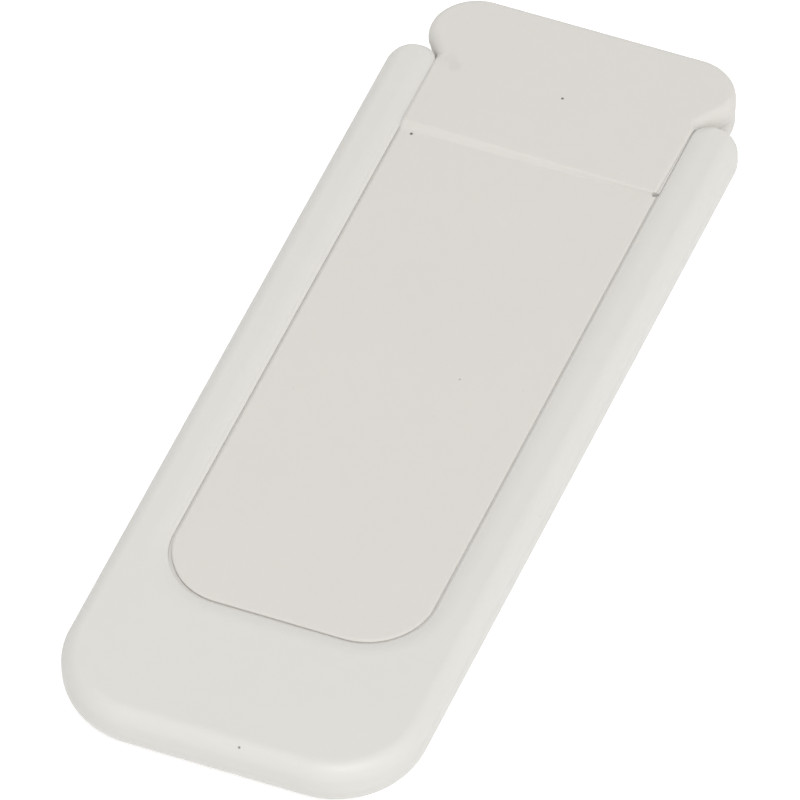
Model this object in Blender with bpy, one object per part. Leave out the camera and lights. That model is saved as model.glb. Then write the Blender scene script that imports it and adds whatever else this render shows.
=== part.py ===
"""Stair gate latch: a moulded U-shaped case with a spring-returned T-headed slide.

The latch lies on its back. +Z is the normal of its front face, +Y points along the case to the
slide's grip, and X runs across. The origin is the centre of the case's flat back face.
The slide is pulled along +Y, which moves a keyhole plate off the neck of a headed stud on the post.
"""
import math

import bmesh
import bpy

MM = 0.001

# ---- driving dimensions, millimetres ----
CASE_WIDTH = 40.0
CASE_LENGTH = 100.0
CASE_DEPTH = 6.65
BACK_ROUND = 4.0          # bullnose round the back edge
FRONT_ROUND = 1.8         # round along the front edge
FOOT_RADIUS = 10.0        # plan corners at the closed end
TIP_RADIUS = 2.9          # outer plan corners at the arms' tips
TIP_INNER = 2.4           # their corners beside the slide
GAP = 0.3                 # clearance between touching pieces

POCKET_HALF = 14.72       # half width between the arms
POCKET_FOOT = 18.5        # flat apron below the pocket
POCKET_RADIUS = 7.5
ARM_CREST = 16.9          # distance of an arm's highest line from the middle
ARM_DROP = 0.35           # fall from that line to the pocket's edge

LIP_HALF = 14.8           # back opening, half width
CHANNEL_HALF = 16.6       # channel behind the arms, half width
CHANNEL_LOW = 0.8
CHANNEL_HIGH = 4.6
APRON_ROOF = 5.1          # inside height behind the apron
APRON_WALL = 1.8          # wall between the pocket and the space behind the apron

PLATE_THICK = 1.7         # back plate
PLATE_STEP = 1.1          # height at which its edge steps out into the channel

PANEL_TOP = 6.1
CAP_TOP = 6.55            # top of the grip
HEAD_HALF = 17.3          # half width of the grip
HEAD_LENGTH = 8.4         # how far the grip reaches past the case
HEAD_BACK = 0.6           # clearance behind the grip
HEAD_ROUND = 1.8          # round along the grip's back edge
HEAD_INSET = 0.25         # how far the grip's back half stays inside its front
FLANK_TURN = 36           # turn, in degrees, from the stem to the grip's flank
FLANK_RADIUS = 2.4        # corner between flank and side
STEP_Y = 38.2             # middle of the soft step between panel and grip
STEP_LENGTH = 1.2
FACE_GAP = 0.27           # running gap between the slide's face and the arms
CARRIER_LOW = 2.0
TRAVEL = 10.0

STUD_Y = 30.0             # where the post's stud sits when the gate is shut
STUD_MOUTH = 9.6          # diameter of the mouth in the back plate
NECK_SLOT = 5.0           # narrow part of the keyhole
HEAD_HOLE = 9.2           # wide part of the keyhole
LOCK_THICK = 0.8
SCREW_REACH = 5.8         # depth of the blind holes for screws and inserts
RIVETS = [(x, y) for x in (-10.5, 10.5) for y in (12.5, 38.5)]

SPRING_X = 12.0
SPRING_LOW = -27.0
SPRING_HIGH = 1.0
SPRING_Z = 3.15
SPRING_RADIUS = 1.05      # to the middle of the wire
WIRE = 0.4
SPRING_TURNS = 13
POST_LENGTH = 2.0
GUIDE_LENGTH = 16.5
GUIDE_RADIUS = 0.45

SCREWS = [(side * x, y) for side in (-1, 1) for x, y in ((10.6, -41.2), (11.4, -36.0))]
INSERTS = [(x, -40.0) for x in (-4.6, 4.6)]
FACE_SCREWS = [(x, 53.6) for x in (-9.0, 9.0)]
PEGS = [(x, y) for x in (-6.5, 6.5) for y in (-24.0, 6.0, 45.5)]
BUMPERS = [(x, -34.2) for x in (-4.6, 4.6)]

ARC_STEPS = 6             # facets in a quarter of a plan corner
ROUND_STEPS = 4           # facets in a quarter of an edge round
TOP = CASE_LENGTH / 2
FOOT = -CASE_LENGTH / 2
FAR = TOP + 30.0          # past the open end, for cutters
CLEAR = 1.0               # how far a cutter runs past a face

WHITE = (0.70, 0.67, 0.63)
BACK_GREY = (0.55, 0.54, 0.52)
STEEL = (0.62, 0.62, 0.63)
BRASS = (0.72, 0.56, 0.28)
RUBBER = (0.03, 0.03, 0.03)


# ---- outlines ----
def arc(cx, cy, radius, start, end, steps=ARC_STEPS):
    """Points on an arc, angles in degrees."""
    angles = [math.radians(start + (end - start) * i / steps) for i in range(steps + 1)]
    return [(cx + radius * math.cos(a), cy + radius * math.sin(a)) for a in angles]


def rounded_box(half, low, high, low_radius, high_radius, inset=0.0):
    """Counter-clockwise outline of a rectangle with round corners, pulled in by inset."""
    half, low, high = half - inset, low + inset, high - inset
    r_low = max(low_radius - inset, 0.3)
    r_high = min(max(high_radius - inset, 0.3), high - low - r_low - 0.05)
    return (arc(half - r_low, low + r_low, r_low, -90, 0)
            + arc(half - r_high, high - r_high, r_high, 0, 90)
            + arc(-half + r_high, high - r_high, r_high, 90, 180)
            + arc(-half + r_low, low + r_low, r_low, 180, 270))


def mirrored(outline):
    """The same points on the left side, in the order that closes the loop."""
    return [(-x, y) for x, y in reversed(outline)]


def circle(x, y, radius, steps=20):
    return arc(x, y, radius, 0, 360 * (steps - 1) / steps, steps - 1)


# ---- solids ----
def make_object(name, mesh_data):
    mesh = bpy.data.meshes.new(name)
    mesh_data.to_mesh(mesh)
    mesh_data.free()
    piece = bpy.data.objects.new(name, mesh)
    bpy.context.scene.collection.objects.link(piece)
    return piece


def stack(name, rings):
    """Closed solid through rings of equal length, each a pair of outline and height."""
    bm = bmesh.new()
    rows = [[bm.verts.new((x * MM, y * MM, z * MM)) for x, y in outline] for outline, z in rings]
    bm.faces.new(list(reversed(rows[0])))
    bm.faces.new(rows[-1])
    for lower, upper in zip(rows, rows[1:]):
        count = len(lower)
        for i in range(count):
            j = (i + 1) % count
            bm.faces.new((lower[i], lower[j], upper[j], upper[i]))
    return make_object(name, bm)


def slab(name, outline, low, high):
    return stack(name, [(outline, low), (outline, high)])


def turned(name, x, y, profile, steps=20):
    """Solid of revolution about a vertical line, profile of (radius, height) from low to high."""
    return stack(name, [(circle(x, y, radius, steps), z) for radius, z in profile])


def block(name, x0, x1, y0, y1, z0, z1):
    return slab(name, [(x0, y0), (x1, y0), (x1, y1), (x0, y1)], z0, z1)


def combine(piece, operation, others):
    """Boolean the others into the piece one by one, and drop them."""
    for other in others:
        cut = piece.modifiers.new("cut", "BOOLEAN")
        cut.operation = operation
        cut.object = other
        graph = bpy.context.evaluated_depsgraph_get()
        mesh = bpy.data.meshes.new_from_object(piece.evaluated_get(graph))
        piece.modifiers.clear()
        piece.data = mesh
        mesh.name = piece.name
        bpy.data.objects.remove(other)
    return piece


def paint(piece, material):
    piece.data.materials.clear()
    piece.data.materials.append(material)
    piece.data.shade_smooth()
    piece.data.set_sharp_from_angle(angle=math.radians(35))
    return piece


def material(name, colour, roughness, metallic=0.0):
    made = bpy.data.materials.new(name)
    made.use_nodes = True
    shader = made.node_tree.nodes["Principled BSDF"]
    shader.inputs["Base Color"].default_value = (*colour, 1.0)
    shader.inputs["Roughness"].default_value = roughness
    shader.inputs["Metallic"].default_value = metallic
    return made


def edge_rings(outline_at, low, high, low_round, high_round):
    """Rings for a body whose back edge and front edge are rounded."""
    rings = []
    for i in range(ROUND_STEPS + 1):
        turn = math.radians(90 * i / ROUND_STEPS)
        rings.append((outline_at(low_round * (1 - math.sin(turn))), low + low_round * (1 - math.cos(turn))))
    for i in range(ROUND_STEPS + 1):
        turn = math.radians(90 * i / ROUND_STEPS)
        rings.append((outline_at(high_round * (1 - math.cos(turn))),
                      high - high_round * (1 - math.sin(turn))))
    return rings


# ---- the case ----
def arm_slope_cutter(name, side):
    """Wedge that lets an arm's front fall from its crest to the pocket's edge."""
    bm = bmesh.new()
    low, high = FOOT + POCKET_FOOT + POCKET_RADIUS, TOP + CLEAR
    reach = ARM_CREST - POCKET_HALF
    inner = POCKET_HALF - CLEAR
    inner_z = CASE_DEPTH - ARM_DROP * (1 + CLEAR / reach)
    section = [(inner, inner_z), (ARM_CREST, CASE_DEPTH), (ARM_CREST, CASE_DEPTH + CLEAR),
               (inner, CASE_DEPTH + CLEAR)]
    ends = [[bm.verts.new((side * x * MM, y * MM, z * MM)) for x, z in section] for y in (low, high)]
    bm.faces.new(ends[0])
    bm.faces.new(list(reversed(ends[1])))
    for i in range(4):
        j = (i + 1) % 4
        bm.faces.new((ends[0][j], ends[0][i], ends[1][i], ends[1][j]))
    bmesh.ops.recalc_face_normals(bm, faces=bm.faces)
    return make_object(name, bm)


def pocket_outline(low):
    """Outline of the pocket, which flares round the inner corners of the arms' tips."""
    flare = arc(POCKET_HALF + TIP_INNER, TOP - TIP_INNER, TIP_INNER, 180, 90)
    right = arc(POCKET_HALF - POCKET_RADIUS, low + POCKET_RADIUS, POCKET_RADIUS, -90, 0)
    right += flare + [(POCKET_HALF + TIP_INNER, FAR)]
    return right + mirrored(right)


def make_housing(plastic):
    def outline_at(inset):
        return rounded_box(CASE_WIDTH / 2, FOOT, TOP, FOOT_RADIUS, TIP_RADIUS, inset)

    housing = stack("housing", edge_rings(outline_at, 0.0, CASE_DEPTH, BACK_ROUND, FRONT_ROUND))
    pocket_low = FOOT + POCKET_FOOT
    wall = CASE_WIDTH / 2 - CHANNEL_HALF
    lip = CASE_WIDTH / 2 - LIP_HALF
    combine(housing, "DIFFERENCE", [
        slab("pocket", pocket_outline(pocket_low), CHANNEL_HIGH - GAP, CASE_DEPTH + CLEAR),
        slab("channel", rounded_box(CHANNEL_HALF, FOOT + wall, FAR, FOOT_RADIUS - wall, 1.0),
             CHANNEL_LOW, CHANNEL_HIGH),
        slab("lip", rounded_box(LIP_HALF, FOOT + lip, FAR, FOOT_RADIUS - lip, 1.0),
             -CLEAR, CHANNEL_LOW + GAP),
        slab("apron_space", rounded_box(CHANNEL_HALF, FOOT + wall, pocket_low - APRON_WALL,
                                        FOOT_RADIUS - wall, 1.0), CHANNEL_HIGH - GAP, APRON_ROOF),
        arm_slope_cutter("slope_right", 1),
        arm_slope_cutter("slope_left", -1)])
    combine(housing, "UNION",
            [turned("screw_boss", x, y, [(2.3, CARRIER_LOW), (2.3, APRON_ROOF + GAP)]) for x, y in SCREWS]
            + [turned("insert_boss", x, y, [(3.4, CARRIER_LOW), (3.4, APRON_ROOF + GAP)])
               for x, y in INSERTS])
    combine(housing, "DIFFERENCE",
            [turned("screw_hole", x, y, [(1.2, 0.0), (1.2, SCREW_REACH)], 12) for x, y in SCREWS]
            + [turned("insert_bore", x, y, [(2.3, 0.0), (2.3, SCREW_REACH)]) for x, y in INSERTS])
    return paint(housing, plastic)


def make_back_plate(plastic):
    lip = CASE_WIDTH / 2 - LIP_HALF + GAP
    wall = CASE_WIDTH / 2 - CHANNEL_HALF + GAP
    high = TOP - BACK_ROUND - 0.5
    inner = rounded_box(CASE_WIDTH / 2 - lip, FOOT + lip, high, FOOT_RADIUS - lip, 0.6)
    outer = rounded_box(CASE_WIDTH / 2 - wall, FOOT + wall, high, FOOT_RADIUS - wall, 0.6)
    plate = slab("back_plate", inner, 0.0, PLATE_STEP + 0.2)
    flange = slab("flange", outer, PLATE_STEP, PLATE_THICK)
    posts = [block("post", x - 1.3, x + 1.3, SPRING_HIGH + GAP, SPRING_HIGH + GAP + POST_LENGTH,
                   PLATE_THICK - 0.2, SPRING_Z + 1.1) for x in (-SPRING_X, SPRING_X)]
    combine(plate, "UNION", [flange] + posts)
    mouth = turned("mouth", 0.0, STUD_Y, [(STUD_MOUTH / 2, z) for z in (-CLEAR, PLATE_THICK + CLEAR)], 28)
    screw_holes = [turned("screw_hole", x, y, [(2.5, -CLEAR), (2.5, 0.0), (1.3, 1.2), (1.3, 3.0)], 16)
                   for x, y in SCREWS]
    bolt_holes = [turned("bolt_hole", x, y, [(1.8, -CLEAR), (1.8, 3.0)], 16) for x, y in INSERTS]
    guide_holes = [lying_rod("guide_hole", x, SPRING_HIGH - 1.0, SPRING_HIGH + GAP + 1.4, GUIDE_RADIUS + 0.15)
                   for x in (-SPRING_X, SPRING_X)]
    combine(plate, "DIFFERENCE", [mouth] + screw_holes + bolt_holes + guide_holes)
    return paint(plate, plastic)


def lying_rod(name, x, low, high, radius, steps=12):
    """Round rod along Y at the springs' height."""
    bm = bmesh.new()
    rows = []
    for y in (low, high):
        row = []
        for i in range(steps):
            turn = 2 * math.pi * i / steps
            row.append(bm.verts.new(((x + radius * math.cos(turn)) * MM, y * MM,
                                     (SPRING_Z + radius * math.sin(turn)) * MM)))
        rows.append(row)
    bm.faces.new(rows[0])
    bm.faces.new(list(reversed(rows[1])))
    for i in range(steps):
        j = (i + 1) % steps
        bm.faces.new((rows[0][j], rows[0][i], rows[1][i], rows[1][j]))
    bmesh.ops.recalc_face_normals(bm, faces=bm.faces)
    return make_object(name, bm)


# ---- the slide ----
def grip_outline(stem, inset):
    """Right side of the grip: round the arm's tip, along the flank, round its corner and the top corner."""
    centre_x, centre_y = POCKET_HALF + TIP_INNER, TOP - TIP_INNER
    neck = arc(centre_x, centre_y, centre_x - stem + inset, 180, 180 - FLANK_TURN, 3)
    turn = math.radians(FLANK_TURN)
    corner_x = HEAD_HALF - FLANK_RADIUS
    corner_radius = FLANK_RADIUS - inset
    side_y = neck[-1][1] + (corner_radius + math.cos(turn) * (corner_x - neck[-1][0])) / math.sin(turn)
    top_radius = TOP + HEAD_LENGTH - side_y
    return (neck + arc(corner_x, side_y, corner_radius, -FLANK_TURN, 0, 4)
            + arc(HEAD_HALF - top_radius, side_y, top_radius - inset, 0, 90)[1:])


def make_carrier(plastic):
    foot = FOOT + POCKET_FOOT - 1.5
    rail = CHANNEL_HALF - GAP
    top = CHANNEL_HIGH - GAP
    carrier = slab("slide_carrier", rounded_box(rail, foot, TOP - 8.0, 9.2, 0.6), CARRIER_LOW, top)
    stem_half = POCKET_HALF - 0.5
    stem = block("stem", -stem_half, stem_half, TOP - 10.0, TOP + 3.0, CARRIER_LOW, top)

    def head_outline(inset):
        right = grip_outline(POCKET_HALF - FACE_GAP, HEAD_INSET + inset)
        return right + mirrored(right)

    head = stack("head", edge_rings(head_outline, HEAD_BACK, top, HEAD_ROUND, 0.15))
    combine(carrier, "UNION", [stem, head])
    through = (CARRIER_LOW - CLEAR, top + CLEAR)
    window_end = SPRING_HIGH + GAP + POST_LENGTH + 0.5
    windows = [block("window", x - 1.75, x + 1.75, SPRING_LOW, window_end, *through)
               for x in (-SPRING_X, SPRING_X)]
    x, y = max(r[0] for r in RIVETS), [r[1] for r in RIVETS]
    recess = block("recess", -x - 2.8, x + 2.8, min(y) - 3.3, max(y) + 3.3,
                   CARRIER_LOW - CLEAR, CARRIER_LOW + LOCK_THICK + GAP)
    channel = slab("head_channel", rounded_box(5.0, STUD_Y - TRAVEL - 5.0, STUD_Y + 5.0, 4.9, 4.9), *through)
    rivet_holes = [turned("rivet_hole", x, y, [(1.3, 2.0), (1.3, 3.6), (2.0, 3.6), (2.0, 6.0)], 12)
                   for x, y in RIVETS]
    peg_holes = [turned("peg_hole", x, y, [(1.2, 1.0), (1.2, 6.0)], 12) for x, y in PEGS]
    screw_holes = [turned("face_screw_hole", x, y, [(2.2, 0.0), (2.2, 0.9), (1.3, 1.8), (1.3, 6.0)], 12)
                   for x, y in FACE_SCREWS]
    combine(carrier, "DIFFERENCE", windows + [recess, channel] + rivet_holes + peg_holes + screw_holes)
    return paint(carrier, plastic)


def peg(x, y):
    return turned("peg", x, y, [(0.9, CARRIER_LOW + 0.4), (0.9, CHANNEL_HIGH + 0.3)], 12)


def face_outline(inset):
    """Outline of the slide's front: a round-ended panel, a stem and two lobes past the arms' tips."""
    stem = POCKET_HALF - FACE_GAP
    foot = FOOT + POCKET_FOOT + 0.35
    foot_radius = POCKET_RADIUS + 0.2
    right = arc(stem - foot_radius, foot + foot_radius, foot_radius - inset, -90, 0)
    right += grip_outline(stem, inset)
    return right + mirrored(right)


def panel_cutter():
    """Bar across the slide that leaves the sunk panel and the soft step up to the grip."""
    steps = 6
    section = [(FOOT, CAP_TOP + CLEAR), (FOOT, PANEL_TOP)]
    rise = CAP_TOP - PANEL_TOP
    for i in range(steps + 1):
        t = i / steps
        section.append((STEP_Y + STEP_LENGTH * (t - 0.5), PANEL_TOP + rise * t * t * (3 - 2 * t)))
    section.append((STEP_Y + STEP_LENGTH, CAP_TOP + 0.02))
    section.append((STEP_Y + STEP_LENGTH, CAP_TOP + CLEAR))
    bm = bmesh.new()
    half = CASE_WIDTH / 2
    ends = [[bm.verts.new((x * MM, y * MM, z * MM)) for y, z in section] for x in (-half, half)]
    bm.faces.new(ends[0])
    bm.faces.new(list(reversed(ends[1])))
    count = len(section)
    for i in range(count):
        j = (i + 1) % count
        bm.faces.new((ends[0][j], ends[0][i], ends[1][i], ends[1][j]))
    bmesh.ops.recalc_face_normals(bm, faces=bm.faces)
    return make_object("panel_cutter", bm)


def make_face(plastic):
    face = stack("slide_face", edge_rings(face_outline, CHANNEL_HIGH, CAP_TOP, 0.1, 0.5))
    combine(face, "UNION", [peg(x, y) for x, y in PEGS])
    combine(face, "DIFFERENCE", [panel_cutter()]
            + [turned("screw_hole", x, y, [(1.1, 4.0), (1.1, SCREW_REACH)], 12) for x, y in FACE_SCREWS])
    return paint(face, plastic)


def make_locking_plate(steel):
    x, y = max(r[0] for r in RIVETS), [r[1] for r in RIVETS]
    low, high = CARRIER_LOW, CARRIER_LOW + LOCK_THICK
    plate = slab("locking_plate", rounded_box(x + 2.5, min(y) - 3.0, max(y) + 3.0, 1.5, 1.5), low, high)
    span = (low - CLEAR, high + CLEAR)
    slot = slab("slot", rounded_box(NECK_SLOT / 2, STUD_Y - TRAVEL, STUD_Y + 4.0, 0.3, NECK_SLOT / 2 - 0.05),
                *span)
    wide = turned("wide", 0.0, STUD_Y - TRAVEL, [(HEAD_HOLE / 2, z) for z in span], 28)
    rivet_holes = [turned("rivet_hole", a, b, [(1.9, low - CLEAR), (1.9, low), (1.3, low + 0.55),
                                               (1.3, high + CLEAR)], 12) for a, b in RIVETS]
    combine(plate, "DIFFERENCE", [slot, wide] + rivet_holes)
    return paint(plate, steel)


def make_rivet(name, x, y, steel):
    profile = [(1.5, CARRIER_LOW + 0.05), (1.0, CARRIER_LOW + 0.5), (1.0, 3.9), (1.7, 3.9), (1.7, 4.15),
               (1.4, 4.3)]
    return paint(turned(name, x, y, profile, 12), steel)


# ---- springs, fasteners and pads ----
def make_spring(name, x, steel):
    """Open coil along Y, drawn as one tube with closed ends."""
    steps, sides = 9, 5
    low = SPRING_LOW + GAP + WIRE / 2
    high = SPRING_HIGH + GAP - GAP - WIRE / 2
    total = SPRING_TURNS * steps
    bm = bmesh.new()
    rows = []
    for i in range(total + 1):
        turn = 2 * math.pi * i / steps
        out = (math.cos(turn), math.sin(turn))
        y = low + (high - low) * i / total
        row = []
        for k in range(sides):
            side = 2 * math.pi * k / sides
            reach = SPRING_RADIUS + WIRE / 2 * math.cos(side)
            row.append(bm.verts.new(((x + reach * out[0]) * MM, (y + WIRE / 2 * math.sin(side)) * MM,
                                     (SPRING_Z + reach * out[1]) * MM)))
        rows.append(row)
    for a, b in zip(rows, rows[1:]):
        for k in range(sides):
            n = (k + 1) % sides
            bm.faces.new((a[k], a[n], b[n], b[k]))
    bm.faces.new(rows[0])
    bm.faces.new(list(reversed(rows[-1])))
    bmesh.ops.recalc_face_normals(bm, faces=bm.faces)
    return paint(make_object(name, bm), steel)


def make_guide(name, x, steel):
    low = SPRING_HIGH + GAP + 1.1 - GUIDE_LENGTH
    return paint(lying_rod(name, x, low, low + GUIDE_LENGTH, GUIDE_RADIUS, 10), steel)


def cross_recess(x, y, face, depth):
    """Two crossed bars that cut a driver recess into a head whose face is at height face."""
    return [block("bar", x - a, x + a, y - b, y + b, face - CLEAR, face + depth)
            for a, b in ((1.2, 0.25), (0.25, 1.2))]


def make_back_screw(name, x, y, steel):
    profile = [(2.1, 0.12), (2.1, 0.25), (1.0, 1.25), (1.0, 4.9), (0.4, 5.5)]
    screw = turned(name, x, y, profile, 14)
    return paint(combine(screw, "DIFFERENCE", cross_recess(x, y, 0.12, 0.55)), steel)


def make_face_screw(name, x, y, steel):
    profile = [(1.8, HEAD_BACK + 0.1), (1.8, 0.9), (0.9, 1.7), (0.9, 5.1), (0.4, 5.5)]
    screw = turned(name, x, y, profile, 14)
    return paint(combine(screw, "DIFFERENCE", cross_recess(x, y, HEAD_BACK + 0.1, 0.5)), steel)


def make_insert(name, x, y, brass):
    insert = turned(name, x, y, [(1.9, 2.1), (2.0, 2.3), (2.0, 3.3), (1.8, 3.5), (1.8, 4.0), (2.0, 4.2),
                                 (2.0, 5.2), (1.9, 5.4)], 18)
    return paint(combine(insert, "DIFFERENCE", [turned("bore", x, y, [(1.25, 1.0), (1.25, 7.0)], 18)]), brass)


def make_bumper(name, x, y, rubber):
    half, low, high = 2.5, y - 1.8, y + 0.9
    outline = ([(x - half, low), (x + half, low)]
               + arc(x + half - 0.8, high - 0.8, 0.8, 0, 90, 3)
               + arc(x - half + 0.8, high - 0.8, 0.8, 90, 180, 3))
    return paint(slab(name, outline, CARRIER_LOW, CHANNEL_HIGH - GAP), rubber)


def main():
    for old in list(bpy.data.objects):
        bpy.data.objects.remove(old)
    white = material("white_plastic", WHITE, 0.45)
    grey = material("back_plastic", BACK_GREY, 0.5)
    steel = material("steel", STEEL, 0.3, 1.0)
    brass = material("brass", BRASS, 0.35, 1.0)
    rubber = material("rubber", RUBBER, 0.8)

    fixed = [make_housing(white), make_back_plate(grey)]
    sliding = [make_carrier(white), make_face(white), make_locking_plate(steel)]
    for i, (x, y) in enumerate(RIVETS, 1):
        sliding.append(make_rivet(f"plate_rivet_{i}", x, y, steel))
    for side, (x, y) in zip(("left", "right"), FACE_SCREWS):
        sliding.append(make_face_screw(f"face_screw_{side}", x, y, steel))
    for i, (x, y) in enumerate(SCREWS, 1):
        fixed.append(make_back_screw(f"back_screw_{i}", x, y, steel))
    for side, x in (("left", -SPRING_X), ("right", SPRING_X)):
        fixed.append(make_spring(f"return_spring_{side}", x, steel))
        fixed.append(make_guide(f"spring_guide_{side}", x, steel))
    for side, (x, y) in zip(("left", "right"), INSERTS):
        fixed.append(make_insert(f"mounting_insert_{side}", x, y, brass))
    for side, (x, y) in zip(("left", "right"), BUMPERS):
        fixed.append(make_bumper(f"bumper_{side}", x, y, rubber))

    for name, pieces in (("case_group", fixed), ("slide_group", sliding)):
        group = bpy.data.objects.new(name, None)
        bpy.context.scene.collection.objects.link(group)
        for piece in pieces:
            piece.parent = group


main()
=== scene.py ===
"""Looks of the stair gate latch: fine meshes, procedural materials, floor, lights and camera.

All is in the part's own frame: +Z out of the front, +Y along the case to the grip, X across.
Lengths are written in millimetres and become metres where a mesh, light or camera is made.
"""
import math

import bmesh
import bpy
import numpy as np
from mathutils import Matrix, Vector


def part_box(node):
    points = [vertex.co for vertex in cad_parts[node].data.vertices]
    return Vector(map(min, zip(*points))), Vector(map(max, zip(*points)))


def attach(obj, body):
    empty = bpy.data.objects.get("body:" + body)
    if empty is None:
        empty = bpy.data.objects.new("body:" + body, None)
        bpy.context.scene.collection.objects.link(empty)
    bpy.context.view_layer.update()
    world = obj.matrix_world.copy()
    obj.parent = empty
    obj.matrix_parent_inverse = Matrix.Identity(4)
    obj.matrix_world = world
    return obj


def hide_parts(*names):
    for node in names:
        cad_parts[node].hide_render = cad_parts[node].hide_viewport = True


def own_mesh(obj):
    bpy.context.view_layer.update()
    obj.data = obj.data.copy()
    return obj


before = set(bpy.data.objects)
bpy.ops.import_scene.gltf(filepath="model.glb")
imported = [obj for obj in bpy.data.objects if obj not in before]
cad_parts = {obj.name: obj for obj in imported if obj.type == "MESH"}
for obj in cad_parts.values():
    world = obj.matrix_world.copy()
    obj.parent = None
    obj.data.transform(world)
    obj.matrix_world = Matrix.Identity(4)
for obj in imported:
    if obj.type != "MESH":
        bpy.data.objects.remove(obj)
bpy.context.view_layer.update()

MM = 0.001
CASE, SLIDE = "case", "slide"


def low_corner(node):
    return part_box(node)[0] / MM


def high_corner(node):
    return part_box(node)[1] / MM


def middle(node):
    return (low_corner(node) + high_corner(node)) / 2


# ---- sizes read from the frame ----
HALF = high_corner("housing").x
TOP = high_corner("housing").y
FOOT = low_corner("housing").y
DEPTH = high_corner("housing").z
GRIP_TOP = high_corner("slide_face").z
GRIP_END = high_corner("slide_face").y
GRIP_HALF = high_corner("slide_face").x
HEAD_HALF = high_corner("slide_carrier").x
CARRIER_FOOT = low_corner("slide_carrier").y
CARRIER_END = high_corner("slide_carrier").y
CARRIER_TOP = high_corner("slide_carrier").z
HEAD_BACK = low_corner("slide_carrier").z
PLATE_HALF = high_corner("back_plate").x
PLATE_FOOT = low_corner("back_plate").y
PLATE_END = high_corner("back_plate").y
POST_TOP = high_corner("back_plate").z
LOCK_LOW = low_corner("locking_plate").z
LOCK_HIGH = high_corner("locking_plate").z

# ---- sizes of the details ----
GAP = 0.3
CLEAR = 1.0                   # how far a cutter reaches past what it cuts
HAIR = 0.01                   # smallest step between two rings of points
SIDES = ("left", "right")
BACK_SCREWS = [f"back_screw_{i}" for i in range(1, 5)]
RIVETS = [f"plate_rivet_{i}" for i in range(1, 5)]

# the case
BACK_ROUND = 4.0
FRONT_ROUND = 1.8
FOOT_RADIUS = 10.0
TIP_RADIUS = 2.9
TIP_INNER = 2.0               # corner of an arm's tip beside the slide
TIP_SHARE = 0.55              # an arm's end is rounded less than its sides
POCKET_HALF = 14.69
POCKET_LOW = FOOT + 18.14
POCKET_RADIUS = 7.5
CREST = 16.9                  # distance of an arm's highest line from the middle
CROWN_DROP = 0.42             # fall from the highest line to the pocket's edge
EDGE_WIDTH = 0.4              # width of the eased edge along the pocket
EDGE_SLOPES = (38, 8)         # slope of that edge, in degrees, at the pocket and at the arm's top
LIP_HALF = 14.8
CHANNEL_HALF = 16.6
CHANNEL_LOW = 0.8
CHANNEL_HIGH = 4.6
APRON_ROOF = 5.1
APRON_WALL = 1.8
HOLE_REACH = 5.8              # height that the blind holes for screws and inserts reach
PLATE_THICK = 1.7
PLATE_STEP = 1.1
MARK_SPOTS = [(x, y) for x in (-9.0, 9.0) for y in (-22.0, 6.0, 36.0)]
MARK_RADIUS = 1.6             # shallow round marks of the ejector pins in the back
MARK_DEPTH = 0.08

# the slide's front; a pair holds the value on its left side and the one on its right side
SLIDE_GAP = 0.008             # fine line between the slide's front and the case
GROOVE_SIDES = (0.08, 0.26)   # width of the groove that the slide's front leaves beside that line
GROOVE_FOOT = (0.40, 0.14)    # how much wider the groove is round the lower end
GROOVE_DEPTH = (0.015, 0.13)
GROOVE_DEEPER = (0.24, 0.06)  # how much deeper the groove is round the lower end
PANEL_TOP = 6.1
PANEL_EDGE = 0.7              # round of the top edge along the panel
PANEL_EDGE_START = 58         # turn, in degrees, at which that round begins
GRIP_EDGE = 0.8               # round of the top edge round the grip
FLANK_EDGE = 1.3              # round of the top edge along the grip's flanks
FACE_FOOT_EDGE = 0.1          # bevel of the hidden lower edge
STEM_HALF = POCKET_HALF - SLIDE_GAP
STEP_Y = 38.2
STEP_LEFT = 1.4               # length of the step between panel and grip, at its two ends
STEP_RIGHT = 0.4
STEP_ROWS = 20
STEP_COLUMNS = 24
FLANK_TURN = 36               # turn, in degrees, between the stem and the flank of the grip
FLANK_RADIUS = 2.4            # lower corners of the grip
SLIT_ENDS = [(14.15, 38.2), (14.65, 38.42)]     # dark slit across the right end of the step
SLIT_HALF = 0.14
SLIT_FLOOR = 5.5
PEG_SPOTS = [(x, y) for x in (-6.5, 6.5) for y in (-24.0, 6.0, 45.5)]

# the mechanism
STUD_Y = 30.0
MOUTH_RADIUS = 4.8
TRAVEL = 10.0
SPRING_Z = 3.15
SPRING_TURNS = 13
CLOSED_TURNS = 1.25           # turns that lie close together at each end of a spring
WIRE_RADIUS = 0.2
# a screw's rings of (radius, z) for its head, then core radius, crest radius and pitch of its thread
BACK_SCREW = ([(2.0, 0.12), (2.1, 0.18), (2.1, 0.28), (1.0, 1.25)], 0.78, 1.0, 0.5)
FACE_SCREW = ([(1.7, 0.7), (1.8, 0.76), (1.8, 0.9), (0.9, 1.7)], 0.7, 0.9, 0.45)


# ---- outlines, arrays of points in millimetres ----
def arc(cx, cy, radius, start, end, steps):
    turn = np.radians(np.linspace(start, end, steps + 1))
    return np.column_stack([cx + radius * np.cos(turn), cy + radius * np.sin(turn)])


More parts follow.
